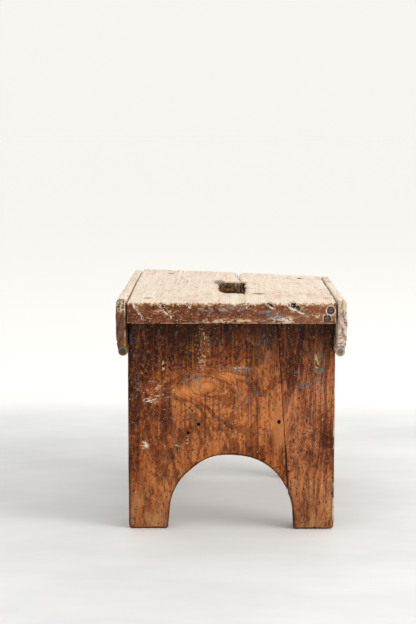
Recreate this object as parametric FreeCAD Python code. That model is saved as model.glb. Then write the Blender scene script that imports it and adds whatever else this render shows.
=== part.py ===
"""Old wooden milking stool: a five-board stool nailed together.

Millimetres.  +X is the right side, +Y the rear, +Z up.  The origin is on the floor, under the
middle of the stool.  The seat runs from front to rear, and its two end boards (the legs) each
have a round arch sawn out of the foot.  A beaded apron board closes each long side.
"""

import FreeCAD, Part

import math
import os

from FreeCAD import Vector

# ---- driving dimensions ------------------------------------------------------------------------

STOOL_HEIGHT = 245.0
SEAT_WIDTH = 213.5
SEAT_LENGTH = 310.0
SEAT_THICKNESS = 22.5
SEAT_TWIST = 4.0  # the rear left corner stands this much high, the rear right this much low

LEG_WIDTH = 216.5
LEG_THICKNESS = 22.0
LEG_SETBACK = 30.0  # from the end of the seat to the outer face of the leg
FOOT_CORNER_RADIUS = 4.0
ARCH_RADIUS = 65.0
ARCH_CENTRE_HEIGHT = 15.0
ARCH_WIDTH_AT_FLOOR = 133.5
LEG_JOINT_X_TOP = 48.0  # the leg's two boards meet on a line that leans out towards the foot
LEG_JOINT_X_FLOOR = 62.3

APRON_THICKNESS = 10.0
APRON_BOTTOM_HEIGHT = 189.0
APRON_TOP_FRONT = 247.0
LEFT_APRON_TOP_REAR = 247.5
RIGHT_APRON_TOP_REAR = 239.5
APRON_CORNER_WEAR = 3.0
BEAD_RADIUS = 5.0
BEAD_PROUD = 2.2  # how far the bead stands inwards of the apron's inner face
QUIRK_RADIUS = 1.3

SLOT_WIDTH = 30.0
SLOT_FRONT_Y = -77.0
SLOT_REAR_Y = 39.0
SLOT_CORNER_RADIUS = 4.0
SLOT_WORN_CORNER_RADIUS = 12.0
SPLIT_X = 9.5
SPLIT_WIDTH_AT_SLOT = 1.6
SPLIT_WIDTH_AT_REAR = 3.0

NAIL_HEAD_RADIUS = 3.2
NAIL_HEAD_THICKNESS = 1.4
NAIL_SHANK_RADIUS = 1.4
NAIL_POINT_LENGTH = 5.0
SEAT_NAIL_LENGTH = 58.0
APRON_NAIL_LENGTH = 38.0
CORNER_NAIL_LENGTH = 34.0
NAIL_SINK = 0.6  # heads are set this far below the wood

SEAT_NAILS_FRONT = ((-88.0, -119.0), (98.0, -110.0))
SEAT_NAILS_REAR = ((-72.0, 117.0), (80.0, 111.0))
APRON_LEG_NAIL_HEIGHT = 211.0
LEFT_APRON_LEG_NAIL_Y = (-111.0, 110.0)
RIGHT_APRON_LEG_NAIL_Y = (-118.0, 119.0)
APRON_SEAT_NAIL_Y = (-72.0, 14.0, 92.0)
APRON_SEAT_NAIL_HEIGHT = 232.0
CORNER_NAILS = ((101.0, 236.4), (97.4, 227.6))

# ---- worked out from the driving dimensions ----------------------------------------------------

HALF_LENGTH = SEAT_LENGTH / 2
HALF_SEAT_WIDTH = SEAT_WIDTH / 2
HALF_LEG_WIDTH = LEG_WIDTH / 2
HALF_OVERALL_WIDTH = HALF_LEG_WIDTH + APRON_THICKNESS
FRONT_LEG_Y = -HALF_LENGTH + LEG_SETBACK
REAR_LEG_Y = HALF_LENGTH - LEG_SETBACK - LEG_THICKNESS
SEAT_UNDERSIDE = STOOL_HEIGHT - SEAT_THICKNESS
CLEAR = 100.0  # cutting tools reach this far past what they cut


# ---- helpers -----------------------------------------------------------------------------------


def polygon_face(points):
    """A flat face from a closed run of corner points."""
    return Part.Face(Part.makePolygon(list(points) + [points[0]]))


def prism_along_y(face_points, y_from, y_to):
    """A prism whose section is given as (x, z) corners, running from y_from to y_to."""
    face = polygon_face([Vector(x, y_from, z) for x, z in face_points])
    return face.extrude(Vector(0, y_to - y_from, 0))


def cylinder(start, end, radius):
    """A round bar between two points."""
    axis = end - start
    return Part.makeCylinder(radius, axis.Length, start, axis)


def mirror_x(shape):
    """The same piece on the other side of the stool."""
    return shape.mirror(Vector(0, 0, 0), Vector(1, 0, 0))


def cut_all(shape, tools):
    """shape with every tool taken out of it."""
    for tool in tools:
        shape = shape.cut(tool)
    return shape


# ---- the seat ----------------------------------------------------------------------------------


def twisted_slab(underside, thickness, half_width):
    """A board whose rear end has wound: its left side rises and its right side drops.

    The front end is level at the height underside, and the long faces are ruled surfaces.
    half_width may pass the seat's own, and the slope across the rear end stays the same.
    """
    lift = SEAT_TWIST * half_width / HALF_SEAT_WIDTH

    def end_wire(y, rise):
        corners = [
            Vector(-half_width, y, underside + rise),
            Vector(half_width, y, underside - rise),
            Vector(half_width, y, underside - rise + thickness),
            Vector(-half_width, y, underside + rise + thickness),
        ]
        return Part.makePolygon(corners + [corners[0]])

    ends = [end_wire(-HALF_LENGTH, 0.0), end_wire(HALF_LENGTH, lift)]
    return Part.makeLoft(ends, True, True)


def slot_cutter():
    """The hand slot: square on its right side, worn round on its left corners."""
    half = SLOT_WIDTH / 2
    bottom = SEAT_UNDERSIDE - CLEAR
    height = SEAT_THICKNESS + 2 * CLEAR
    length = SLOT_REAR_Y - SLOT_FRONT_Y
    slot = Part.makeBox(SLOT_WIDTH, length, height, Vector(-half, SLOT_FRONT_Y, bottom))

    def upright_edges(x_side):
        found = []
        for edge in slot.Edges:
            box = edge.BoundBox
            if box.ZLength > height / 2 and box.Center.x * x_side > 0:
                found.append(edge)
        return found

    left_edges = upright_edges(-1)
    slot = slot.makeFillet(SLOT_WORN_CORNER_RADIUS, left_edges)
    right_edges = upright_edges(1)
    right_corners = [edge for edge in right_edges if abs(edge.BoundBox.Center.x - half) < 0.1]
    return slot.makeFillet(SLOT_CORNER_RADIUS, right_corners)


def split_cutter():
    """The open split that runs from the slot to the rear end and widens as it goes."""
    start = SLOT_REAR_Y - SLOT_CORNER_RADIUS
    end = HALF_LENGTH + CLEAR
    bottom = SEAT_UNDERSIDE - CLEAR
    face = polygon_face(
        [
            Vector(SPLIT_X - SPLIT_WIDTH_AT_SLOT / 2, start, bottom),
            Vector(SPLIT_X + SPLIT_WIDTH_AT_SLOT / 2, start, bottom),
            Vector(SPLIT_X + SPLIT_WIDTH_AT_REAR / 2, end, bottom),
            Vector(SPLIT_X - SPLIT_WIDTH_AT_REAR / 2, end, bottom),
        ]
    )
    return face.extrude(Vector(0, 0, SEAT_THICKNESS + 2 * CLEAR))


def seat_board():
    """The seat before its nail holes."""
    slab = twisted_slab(SEAT_UNDERSIDE, SEAT_THICKNESS, HALF_SEAT_WIDTH)
    return cut_all(slab, [slot_cutter(), split_cutter()])


# ---- the legs ----------------------------------------------------------------------------------


def leg_outline_cutter(y_from):
    """The arch between the feet: a round top on sides that spread a little to the floor."""
    y = y_from - CLEAR
    half = ARCH_WIDTH_AT_FLOOR / 2
    centre = ARCH_CENTRE_HEIGHT
    left_floor = Vector(-half, y, -CLEAR)
    left_foot = Vector(-half, y, 0)
    left_spring = Vector(-ARCH_RADIUS, y, centre)
    crown = Vector(0, y, centre + ARCH_RADIUS)
    right_spring = Vector(ARCH_RADIUS, y, centre)
    right_foot = Vector(half, y, 0)
    right_floor = Vector(half, y, -CLEAR)
    edges = [
        Part.LineSegment(left_floor, left_foot).toShape(),
        Part.LineSegment(left_foot, left_spring).toShape(),
        Part.Arc(left_spring, crown, right_spring).toShape(),
        Part.LineSegment(right_spring, right_foot).toShape(),
        Part.LineSegment(right_foot, right_floor).toShape(),
        Part.LineSegment(right_floor, left_floor).toShape(),
    ]
    return Part.Face(Part.Wire(edges)).extrude(Vector(0, LEG_THICKNESS + 2 * CLEAR, 0))


def leg_blank(y_from):
    """A whole end board with rounded outer foot corners, up to the underside of the seat."""
    half = HALF_LEG_WIDTH
    top = STOOL_HEIGHT + CLEAR
    board = Part.makeBox(LEG_WIDTH, LEG_THICKNESS, top, Vector(-half, y_from, 0))
    foot_edges = []
    for edge in board.Edges:
        box = edge.BoundBox
        if box.YLength > LEG_THICKNESS / 2 and box.ZMax < 0.1:
            foot_edges.append(edge)
    board = board.makeFillet(FOOT_CORNER_RADIUS, foot_edges)
    above = twisted_slab(SEAT_UNDERSIDE, STOOL_HEIGHT + 2 * CLEAR, HALF_OVERALL_WIDTH)
    return board.cut(above).cut(leg_outline_cutter(y_from))


def joint_side(y_from, side):
    """All the space on one side of the line where the leg's two boards meet."""
    top = STOOL_HEIGHT + CLEAR
    slope = (LEG_JOINT_X_TOP - LEG_JOINT_X_FLOOR) / SEAT_UNDERSIDE
    x_bottom = LEG_JOINT_X_FLOOR - slope * CLEAR
    x_top = LEG_JOINT_X_FLOOR + slope * top
    x_far = side * (HALF_LEG_WIDTH + CLEAR)
    corners = [(x_bottom, -CLEAR), (x_top, top), (x_far, top), (x_far, -CLEAR)]
    return prism_along_y(corners, y_from - CLEAR, y_from + LEG_THICKNESS + CLEAR)


def leg_boards(y_from, aprons):
    """(wide board, narrow board) of one leg, notched where the apron beads press in."""
    blank = cut_all(leg_blank(y_from), aprons)
    return blank.common(joint_side(y_from, -1)), blank.common(joint_side(y_from, 1))


# ---- the aprons --------------------------------------------------------------------------------


def right_apron(top_rear):
    """The beaded board that closes the right side, before its nail holes."""
    inner = HALF_LEG_WIDTH
    outer = HALF_OVERALL_WIDTH
    bead_x = inner - BEAD_PROUD + BEAD_RADIUS
    bead_z = APRON_BOTTOM_HEIGHT + BEAD_RADIUS
    quirk_z = bead_z + 2 * BEAD_RADIUS
    top = max(APRON_TOP_FRONT, top_rear)
    section = [
        (inner, bead_z),
        (inner, top),
        (outer - APRON_CORNER_WEAR, top),
        (outer, top - APRON_CORNER_WEAR),
        (outer, quirk_z),
        (bead_x + BEAD_RADIUS, bead_z),
    ]
    board = prism_along_y(section, -HALF_LENGTH, HALF_LENGTH)
    bead_start = Vector(bead_x, -HALF_LENGTH, bead_z)
    bead_end = Vector(bead_x, HALF_LENGTH, bead_z)
    bead = cylinder(bead_start, bead_end, BEAD_RADIUS)
    board = board.fuse(bead).removeSplitter()
    quirk_start = Vector(outer, -HALF_LENGTH - CLEAR, quirk_z)
    quirk_end = Vector(outer, HALF_LENGTH + CLEAR, quirk_z)
    board = board.cut(cylinder(quirk_start, quirk_end, QUIRK_RADIUS))
    slope = (top_rear - APRON_TOP_FRONT) / SEAT_LENGTH
    trim_front = APRON_TOP_FRONT - slope * CLEAR
    trim_rear = top_rear + slope * CLEAR
    trim = polygon_face(
        [
            Vector(inner - CLEAR, -HALF_LENGTH - CLEAR, trim_front),
            Vector(inner - CLEAR, HALF_LENGTH + CLEAR, trim_rear),
            Vector(inner - CLEAR, HALF_LENGTH + CLEAR, STOOL_HEIGHT + CLEAR),
            Vector(inner - CLEAR, -HALF_LENGTH - CLEAR, STOOL_HEIGHT + CLEAR),
        ]
    )
    return board.cut(trim.extrude(Vector(2 * CLEAR, 0, 0)))


# ---- nails -------------------------------------------------------------------------------------


def nail(surface_point, direction, length):
    """A wire nail driven from surface_point: flat head, round shank and drawn-out point."""
    head_top = surface_point + direction * NAIL_SINK
    head_base = head_top + direction * NAIL_HEAD_THICKNESS
    point_base = head_top + direction * (length - NAIL_POINT_LENGTH)
    head = cylinder(head_top, head_base, NAIL_HEAD_RADIUS)
    shank = cylinder(head_base, point_base, NAIL_SHANK_RADIUS)
    blunt_radius = NAIL_SHANK_RADIUS / 7
    point = Part.makeCone(NAIL_SHANK_RADIUS, blunt_radius, NAIL_POINT_LENGTH, point_base, direction)
    return head.fuse([shank, point]).removeSplitter()


def nail_hole(surface_point, direction, length):
    """The room a nail takes, with the dent above its sunk head."""
    head_top = surface_point + direction * NAIL_SINK
    dent = cylinder(surface_point - direction, head_top, NAIL_HEAD_RADIUS)
    return nail(surface_point, direction, length).fuse(dent)


def seat_top_height(x, y):
    """Height of the seat's top face, with its twist."""
    along = (y + HALF_LENGTH) / SEAT_LENGTH
    return STOOL_HEIGHT - SEAT_TWIST * along * x / HALF_SEAT_WIDTH


def seat_nail_places(spots):
    """Nails driven down through the seat into the end of a leg."""
    down = Vector(0, 0, -1)
    return [(Vector(x, y, seat_top_height(x, y)), down, SEAT_NAIL_LENGTH) for x, y in spots]


def apron_nail_places(side, y_values, height):
    """A row of nails driven inwards through an apron.  side is -1 on the left and 1 on the right."""
    inwards = Vector(-side, 0, 0)
    face = side * HALF_OVERALL_WIDTH
    return [(Vector(face, y, height), inwards, APRON_NAIL_LENGTH) for y in y_values]


def nail_groups():
    """Every group of nails, by node name."""
    rearwards = Vector(0, 1, 0)
    return {
        "seat_nails_front": seat_nail_places(SEAT_NAILS_FRONT),
        "seat_nails_rear": seat_nail_places(SEAT_NAILS_REAR),
        "left_apron_leg_nails": apron_nail_places(-1, LEFT_APRON_LEG_NAIL_Y, APRON_LEG_NAIL_HEIGHT),
        "right_apron_leg_nails": apron_nail_places(1, RIGHT_APRON_LEG_NAIL_Y, APRON_LEG_NAIL_HEIGHT),
        "left_apron_seat_nails": apron_nail_places(-1, APRON_SEAT_NAIL_Y, APRON_SEAT_NAIL_HEIGHT),
        "right_apron_seat_nails": apron_nail_places(1, APRON_SEAT_NAIL_Y, APRON_SEAT_NAIL_HEIGHT),
        "seat_corner_nails": [
            (Vector(x, -HALF_LENGTH, z), rearwards, CORNER_NAIL_LENGTH) for x, z in CORNER_NAILS
        ],
    }


# ---- assembly ----------------------------------------------------------------------------------


def build():
    """Every piece of the stool, by node name."""
    aprons = {
        "left_apron": mirror_x(right_apron(LEFT_APRON_TOP_REAR)),
        "right_apron": right_apron(RIGHT_APRON_TOP_REAR),
    }
    front_wide, front_narrow = leg_boards(FRONT_LEG_Y, aprons.values())
    rear_wide, rear_narrow = leg_boards(REAR_LEG_Y, aprons.values())
    boards = {
        "seat_board": seat_board(),
        "front_leg_wide_board": front_wide,
        "front_leg_narrow_board": front_narrow,
        "rear_leg_wide_board": rear_wide,
        "rear_leg_narrow_board": rear_narrow,
    }
    boards.update(aprons)
    groups = nail_groups()
    holes = [nail_hole(*place) for places in groups.values() for place in places]
    pieces = {}
    for name, board in boards.items():
        reaching = [hole for hole in holes if hole.BoundBox.intersect(board.BoundBox)]
        pieces[name] = cut_all(board, reaching)
    for name, places in groups.items():
        pieces[name] = Part.makeCompound([nail(*place) for place in places])
    return pieces


def main():
    """Writes one STEP file per piece."""
    os.makedirs("parts", exist_ok=True)
    for name, shape in build().items():
        solids = shape.Solids
        volume = math.fsum(solid.Volume for solid in solids)
        print(f"{name}: {len(solids)} solid(s), {volume / 1000:.1f} cm3, valid {shape.isValid()}")
        out = solids[0] if len(solids) == 1 else Part.makeCompound(solids)
        out.exportStep(os.path.join("parts", name + ".step"))


main()
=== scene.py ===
"""The looks of an old wooden milking stool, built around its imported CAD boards.

Each board is carved as a distance field, in millimetres, and turned into one closed mesh.  The
row frame is used throughout: +X right, +Y to the rear, +Z up, the floor at 0.
"""

import math

import bmesh
import bpy
import numpy as np
import openvdb
from mathutils import Matrix, Vector


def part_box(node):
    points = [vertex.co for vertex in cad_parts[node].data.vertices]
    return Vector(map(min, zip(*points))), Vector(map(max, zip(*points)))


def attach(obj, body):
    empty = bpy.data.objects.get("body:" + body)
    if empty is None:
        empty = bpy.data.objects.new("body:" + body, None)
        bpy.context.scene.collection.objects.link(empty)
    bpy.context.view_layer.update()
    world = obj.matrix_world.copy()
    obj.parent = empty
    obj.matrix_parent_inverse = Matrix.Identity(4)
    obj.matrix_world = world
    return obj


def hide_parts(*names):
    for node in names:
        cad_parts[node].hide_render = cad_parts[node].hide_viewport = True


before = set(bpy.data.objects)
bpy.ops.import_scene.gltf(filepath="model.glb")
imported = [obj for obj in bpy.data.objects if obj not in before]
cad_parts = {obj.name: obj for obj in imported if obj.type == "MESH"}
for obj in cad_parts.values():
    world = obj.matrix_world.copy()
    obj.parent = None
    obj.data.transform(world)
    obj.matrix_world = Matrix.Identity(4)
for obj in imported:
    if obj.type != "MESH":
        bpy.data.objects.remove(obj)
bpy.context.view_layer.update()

MM = 0.001  # metres
VOXEL = 1.0
SEAT_VOXEL = 1.1
MARGIN = 3  # sample points kept clear around a board
GAP = 0.12  # between boards that touch
BODY = "root"


def corners(node):
    """The lowest and highest corners of a CAD node, in millimetres."""
    low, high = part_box(node)
    return np.array(low) / MM, np.array(high) / MM


def add_object(name, data):
    """A new object in the scene that holds the data given."""
    new = bpy.data.objects.new(name, data)
    bpy.context.scene.collection.objects.link(new)
    return new


# ---- sizes, in millimetres ----

SEAT_HIGH = corners("seat_board")[1]
SEAT_TWIST = 4.0
SEAT_THICKNESS = 22.5
HALF_WIDTH = SEAT_HIGH[0]
HALF_LENGTH = SEAT_HIGH[1]
STOOL_HEIGHT = SEAT_HIGH[2] - SEAT_TWIST
UNDERSIDE = STOOL_HEIGHT - SEAT_THICKNESS

HALF_LEG = corners("front_leg_narrow_board")[1][0]
LEG_SET_BACK = 30.0
LEG_FACE = HALF_LENGTH - LEG_SET_BACK  # from the stool's middle to a leg's outer face
ARCH_RADIUS = 65.0
ARCH_CENTRE = 15.0
ARCH_SPREAD = 1.75  # how much wider each side of the arch is at the floor
JOINT_X_TOP = 48.0
JOINT_X_FLOOR = 62.3

APRON_BOTTOM = corners("right_apron")[0][2]
APRON_THICKNESS = corners("right_apron")[1][0] - HALF_LEG
APRON_TOP_FRONT = STOOL_HEIGHT + 2.0
APRON_TOP_REAR = {-1: 247.5, 1: 239.5}  # on the left and the right side
APRON_BOW = 0.9
APRON_MIDDLE = 30.0  # from the apron's bottom to the middle of its face
APRON_LEAN = 3.0  # how far the outer face leans in below the quirk
BEAD_RADIUS = 5.0
BEAD_OUT = 2.8  # from the apron's inner face to the middle of its bead
BEAD_CLEARANCE = 0.3  # between a bead and the leg beside it
QUIRK_UP = 14.5  # from the bottom of the bead to the quirk above it
QUIRK_RADIUS = 1.3

SLOT_HALF_WIDTH = 15.0
SLOT_FRONT = -77.0
SLOT_REAR = 39.0
SLANT_LENGTH = 24.0
SPLIT_X = 9.5
HAIRLINE_X = 12.8  # of the fine crack from the front end to the slot
HAIRLINE_DEPTH = 1.6
MOUTH_LENGTH = 26.0  # of the split's part with rounded lips, at the rear end

NAIL_HEAD = 3.2
NAIL_SINK = 0.6
SOCKET_RADIUS = 3.6  # of the dent a nail's head sits in
SOCKET_DEPTH = 2.4
OLD_HOLE_RADIUS = 1.1
OLD_HOLE_DEPTH = 7.0
FAR_FROM_CUTS = 9.0
DOWN = Vector((0, 0, -1))
REARWARDS = Vector((0, 1, 0))
LEFTWARDS = Vector((-1, 0, 0))
RIGHTWARDS = Vector((1, 0, 0))


# ---- distance fields ----


class Block:
    """A grid of sample points, in millimetres, that covers one CAD board."""

    def __init__(self, node, voxel):
        low, high = corners(node)
        self.voxel = voxel
        self.start = low - MARGIN * voxel
        self.counts = np.ceil((high - low) / voxel).astype(int) + 2 * MARGIN + 1
        lines = [self.start[i] + voxel * np.arange(self.counts[i]) for i in range(3)]
        self.x = lines[0][:, None, None]
        self.y = lines[1][None, :, None]
        self.z = lines[2][None, None, :]

    def noise(self, cell, seed):
        """A smooth random field of about unit size.  cell is its grain along X, Y and Z."""
        rng = np.random.default_rng(seed)
        weights = []
        for count, size in zip(self.counts, cell):
            place = np.arange(count) * self.voxel / size
            base = np.floor(place).astype(int)
            f = place - base
            curve = (
                (1 - f) ** 3,
                3 * f**3 - 6 * f**2 + 4,
                -3 * f**3 + 3 * f**2 + 3 * f + 1,
                f**3,
            )
            table = np.zeros((count, base[-1] + 4))
            for step, weight in enumerate(curve):
                table[np.arange(count), base + step] += weight / 6
            weights.append(table)
        values = rng.normal(0, 3, [table.shape[1] for table in weights])
        for axis, table in enumerate(weights):
            values = np.moveaxis(np.tensordot(table, values, (1, axis)), 0, axis)
        return values

    def mesh(self, name, field, faces, cut):
        """One closed mesh where field is 0.

        Its attributes are "worn", the depth below the sawn faces, "arris", how far in from the
        nearest arris a point lies, and "cut", how far it is from the nearest hole or cut.
        """
        full = np.broadcast_to(field, self.counts)
        grid = openvdb.FloatGrid(background=float(MARGIN * self.voxel))
        grid.copyFromArray(np.ascontiguousarray(full, np.float32))
        points, quads = grid.convertToQuads(isovalue=0.0)
        points = self.start + points.astype(float) * self.voxel
        data = bpy.data.meshes.new(name)
        data.vertices.add(len(points))
        data.vertices.foreach_set("co", (points * MM).astype(np.float32).ravel())
        data.loops.add(quads.size)
        data.loops.foreach_set("vertex_index", quads.astype(np.int32).ravel())
        data.polygons.add(len(quads))
        data.polygons.foreach_set("loop_start", np.arange(0, quads.size, 4, dtype=np.int32))
        data.update(calc_edges=True)
        data.validate()
        near_faces = np.sort(np.stack(np.broadcast_arrays(*faces(*points.T))), axis=0)
        nearest = np.rint((points - self.start) / self.voxel).astype(int)
        from_cut = np.broadcast_to(cut, self.counts)[tuple(nearest.T)]
        named = {"worn": -near_faces[-1], "arris": -near_faces[-2], "cut": from_cut}
        for title, values in named.items():
            attribute = data.attributes.new(title, "FLOAT", "POINT")
            attribute.data.foreach_set("value", values.astype(np.float32))
        data.shade_smooth()
        return add_object(name, data)


def worn_edge(a, b, radius):
    """Where two faces meet, given as distances, with the edge worn round."""
    u = a + radius
    v = b + radius
    outside = np.hypot(np.maximum(u, 0), np.maximum(v, 0))
    return np.minimum(np.maximum(u, v), 0) + outside - radius


def worn_solid(edges):
    """A solid given by its edges: each is the two faces that meet and how round it is worn."""
    body = -np.inf
    for a, b, radius in edges:
        body = np.maximum(body, worn_edge(a, b, radius))
    return body


def groove(block, start, end, inward, width, depth):
    """A V-shaped cut along a line on a face, and how far each place lies across from that line.

    width and depth are given at the cut's start and end.
    """
    start = Vector(start)
    run = Vector(end) - start
    unit = run.normalized()
    across = unit.cross(Vector(inward))

    def along(direction):
        return (
            (block.x - start.x) * direction.x
            + (block.y - start.y) * direction.y
            + (block.z - start.z) * direction.z
        )

    travel = along(unit)
    t = np.clip(travel / run.length, 0, 1)
    half = (width[0] + (width[1] - width[0]) * t) / 2
    deep = depth[0] + (depth[1] - depth[0]) * t
    sides = np.abs(along(across)) - half * (1 - along(Vector(inward)) / deep)
    ends = np.abs(travel - run.length / 2) - run.length / 2
    return np.maximum(sides, ends), along(across)


def hole(block, point, inward, radius, depth):
    """A round hole driven in from a point on a face."""
    spread = 0
    reach = 0
    for grid, place, part in zip((block.x, block.y, block.z), point, inward):
        spread = spread + ((grid - place) * (1 - abs(part))) ** 2
        reach = reach + (grid - place) * part
    return np.maximum(np.sqrt(spread) - radius, reach - depth)


def sink_nails(block, body, cut, places):
    """The body with a socket for each nail's head, and the distance from the nearest cut."""
    for point, inward in places:
        socket = hole(block, point, inward, SOCKET_RADIUS, SOCKET_DEPTH)
        body = worn_edge(body, -socket, 0.5)
        cut = np.minimum(cut, socket)
    return body, cut


def bowl(block, centre, stretch, radius):
    """A hollow like the side of an egg, longer along X and Y by the stretch given."""
    parts = zip((block.x, block.y, block.z), centre, stretch)
    return np.sqrt(sum(((grid - middle) / size) ** 2 for grid, middle, size in parts)) - radius


def pitted(block, field, seed, size, cutoff, depth):
    """The field with scattered small dents of one size."""
    dents = block.noise((size, size, size), seed)
    return field + np.clip(dents - cutoff, 0, 1) * depth


# ---- the seat ----


def seat_underside(x, y):
    """Height of the seat's underside: the rear end has wound, its left side up."""
    return UNDERSIDE - SEAT_TWIST * x / HALF_WIDTH * (y + HALF_LENGTH) / (2 * HALF_LENGTH)


def seat_top(x, y):
    """Height of the seat's top face."""
    return seat_underside(x, y) + SEAT_THICKNESS


def seat_faces(x, y, z):
    """Distances from the seat's top, underside, front, rear, left and right faces."""
    under = seat_underside(x, y)
    return (
        z - under - SEAT_THICKNESS,
        under - z,
        -HALF_LENGTH - y + 0 * x,
        y - HALF_LENGTH + 0 * x,
        -HALF_WIDTH - x + 0 * y,
        x - HALF_WIDTH + 0 * y,
    )


# The x and y of each nail down through the seat.
SEAT_NAILS = {
    "seat_nails_front": ((-88.0, -119.0), (98.0, -110.0)),
    "seat_nails_rear": ((-72.0, 117.0), (80.0, 111.0)),
}

# The x and z of each nail in the seat's front end.
CORNER_NAILS = ((101.0, 236.4), (97.4, 227.6))

# Cuts in the seat's front end, from the top arris down to the right: start x, end x, end z,
# width at the arris and depth there.
FRONT_CUTS = (
    (-101.5, -88.0, 225.0, 1.6, 1.2),
    (-74.0, -60.5, 228.5, 4.6, 3.4),
    (-46.5, -42.0, 239.5, 3.2, 2.6),
    (12.5, 16.0, 239.5, 3.0, 2.2),
    (37.0, 44.5, 238.0, 6.5, 5.0),
    (60.0, 75.0, 232.5, 10.0, 8.0),
)


def seat_nail_places(node):
    """The point and the direction of each nail of one group through the seat."""
    return [((x, y, seat_top(x, y)), DOWN) for x, y in SEAT_NAILS[node]]


def corner_nail_places():
    """The point and the direction of each nail in the seat's front end."""
    return [((x, -HALF_LENGTH, z), REARWARDS) for x, z in CORNER_NAILS]


def hand_slot(block):
    """The hand slot, with round corners and a slanted left side towards the front."""
    middle = (SLOT_FRONT + SLOT_REAR) / 2
    half = (SLOT_REAR - SLOT_FRONT) / 2
    sides = worn_edge(np.abs(block.x) - SLOT_HALF_WIDTH, np.abs(block.y - middle) - half, 3.0)
    slant = (-block.x - SLOT_HALF_WIDTH) * 0.93 + (SLOT_FRONT + SLANT_LENGTH - block.y) * 0.36
    slot = worn_edge(sides, slant, 6.0)
    return slot + 0.7 * block.noise((7, 7, 9), 11)


def seat_board():
    """The seat: a wound plank with a hand slot, a split, worn arrises and old cuts."""
    block = Block("seat_board", SEAT_VOXEL)
    x, y = block.x, block.y
    top, under, front, rear, left, right = seat_faces(x, y, block.z)
    ragged = block.noise((5, 9, 5), 1)
    uneven = block.noise((26, 60, 30), 2)
    top = top + 0.35 * uneven + 0.12 * block.noise((2.4, 26, 8), 3) + 0.35
    rough_front = front + 0.25 * block.noise((9, 20, 6), 4)
    side_arris = np.clip(0.8 + 0.4 * ragged, 0.2, 2)
    edges = (
        (top, front, np.clip(2.2 + 0.9 * ragged, 0.6, 5)),
        (top, rear, np.clip(3.0 + 1.0 * ragged, 0.8, 6)),
        (top, left, side_arris),
        (top, right, side_arris),
        (under, rough_front, np.clip(1.1 + 0.4 * ragged, 0.3, 3)),
        (under, rear, 1.2),
        (rough_front, left, 1.2),
        (rough_front, right, 1.6),
        (rear, left, 2.2),
        (rear, right, 2.2),
        (under, left, 1.0),
        (under, right, 1.0),
    )
    body = worn_solid(edges)

    slot = hand_slot(block)
    body = worn_edge(body, -slot, 1.8)
    scoop = bowl(block, (-19.0, 30.0, STOOL_HEIGHT + 2.5), (1.5, 1.8, 1.0), 8.0)
    dent = bowl(block, (28.0, -77.0, STOOL_HEIGHT + 1.2), (2.0, 1.6, 1.0), 4.0)
    body = worn_edge(worn_edge(body, -scoop, 1.5), -dent, 0.8)
    cut = np.minimum(np.minimum(slot, scoop + 1.5), dent + 0.2)

    open_by = np.clip((y - SLOT_REAR) / (HALF_LENGTH - SLOT_REAR), 0, 1)
    wander = SPLIT_X + 1.2 * np.sin(y / 21.0) - 1.5 * open_by
    split = np.abs(x - wander) - (0.45 + 1.1 * open_by**2)
    split = np.maximum(split, SLOT_REAR - 4.0 - y)
    mouth = np.clip((y - HALF_LENGTH + MOUTH_LENGTH) / MOUTH_LENGTH, 0, 1)
    body = worn_edge(body, -split, 0.6 + 5.0 * mouth)
    cut = np.minimum(cut, split)
    hairline = np.abs(x - HAIRLINE_X - 0.6 * np.sin(y / 8.0)) - 0.35
    hairline = np.maximum(hairline, y - SLOT_FRONT - 2.0)
    hairline = np.maximum(hairline, STOOL_HEIGHT - HAIRLINE_DEPTH - block.z)
    body = np.maximum(body, -hairline)
    cut = np.minimum(cut, hairline + 0.6)

    for x_start, x_end, z_end, width, depth in FRONT_CUTS:
        start = (x_start, -HALF_LENGTH, STOOL_HEIGHT - 0.5)
        end = (x_end, -HALF_LENGTH, z_end)
        chop, across = groove(block, start, end, (0, 1, 0), (width, 0.8), (depth, 0.5))
        body = worn_edge(body, -chop, 0.3)
        # On the left lip of each cut in the end face, cut is set to a narrow band that the seat
        # material paints with a highlight.
        lit_lip = (across < 0) & (y < -HALF_LENGTH + 0.8)
        cut = np.minimum(cut, np.where(lit_lip, np.abs(chop) + 0.7, 3 * chop))
    places = [place for node in SEAT_NAILS for place in seat_nail_places(node)]
    body, cut = sink_nails(block, body, cut, places + corner_nail_places())
    body = pitted(block, body, 5, 4.5, 1.7, 0.9)
    return block.mesh("seat_plank", body, seat_faces, cut)


# ---- the legs ----


def joint_x(z):
    """Where a leg's two boards meet, at a height."""
    return JOINT_X_FLOOR + (JOINT_X_TOP - JOINT_X_FLOOR) * z / UNDERSIDE


def arch(x, z):
    """Distance to the round-headed opening between the feet, negative inside it."""
    round_head = np.hypot(x, z - ARCH_CENTRE) - ARCH_RADIUS
    spread = ARCH_SPREAD * (ARCH_CENTRE - z) / ARCH_CENTRE
    return np.where(z > ARCH_CENTRE, round_head, np.abs(x) - ARCH_RADIUS - spread)


def leg_faces(node, side):
    """A function that gives distances from a leg board's sawn faces.

    They are its outer edge, its joint, top, sole, arch, front and rear.
    """
    low, high = corners(node)

    def faces(x, y, z):
        outer = side * x - HALF_LEG
        joint = side * (joint_x(z) - x)
        top = z - seat_underside(x, y)
        return (
            outer + 0 * z,
            joint + GAP,
            top + GAP + 0 * z,
            -z + 0 * x,
            -arch(x, z),
            low[1] - y,
            y - high[1],
        )

    return faces


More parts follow.
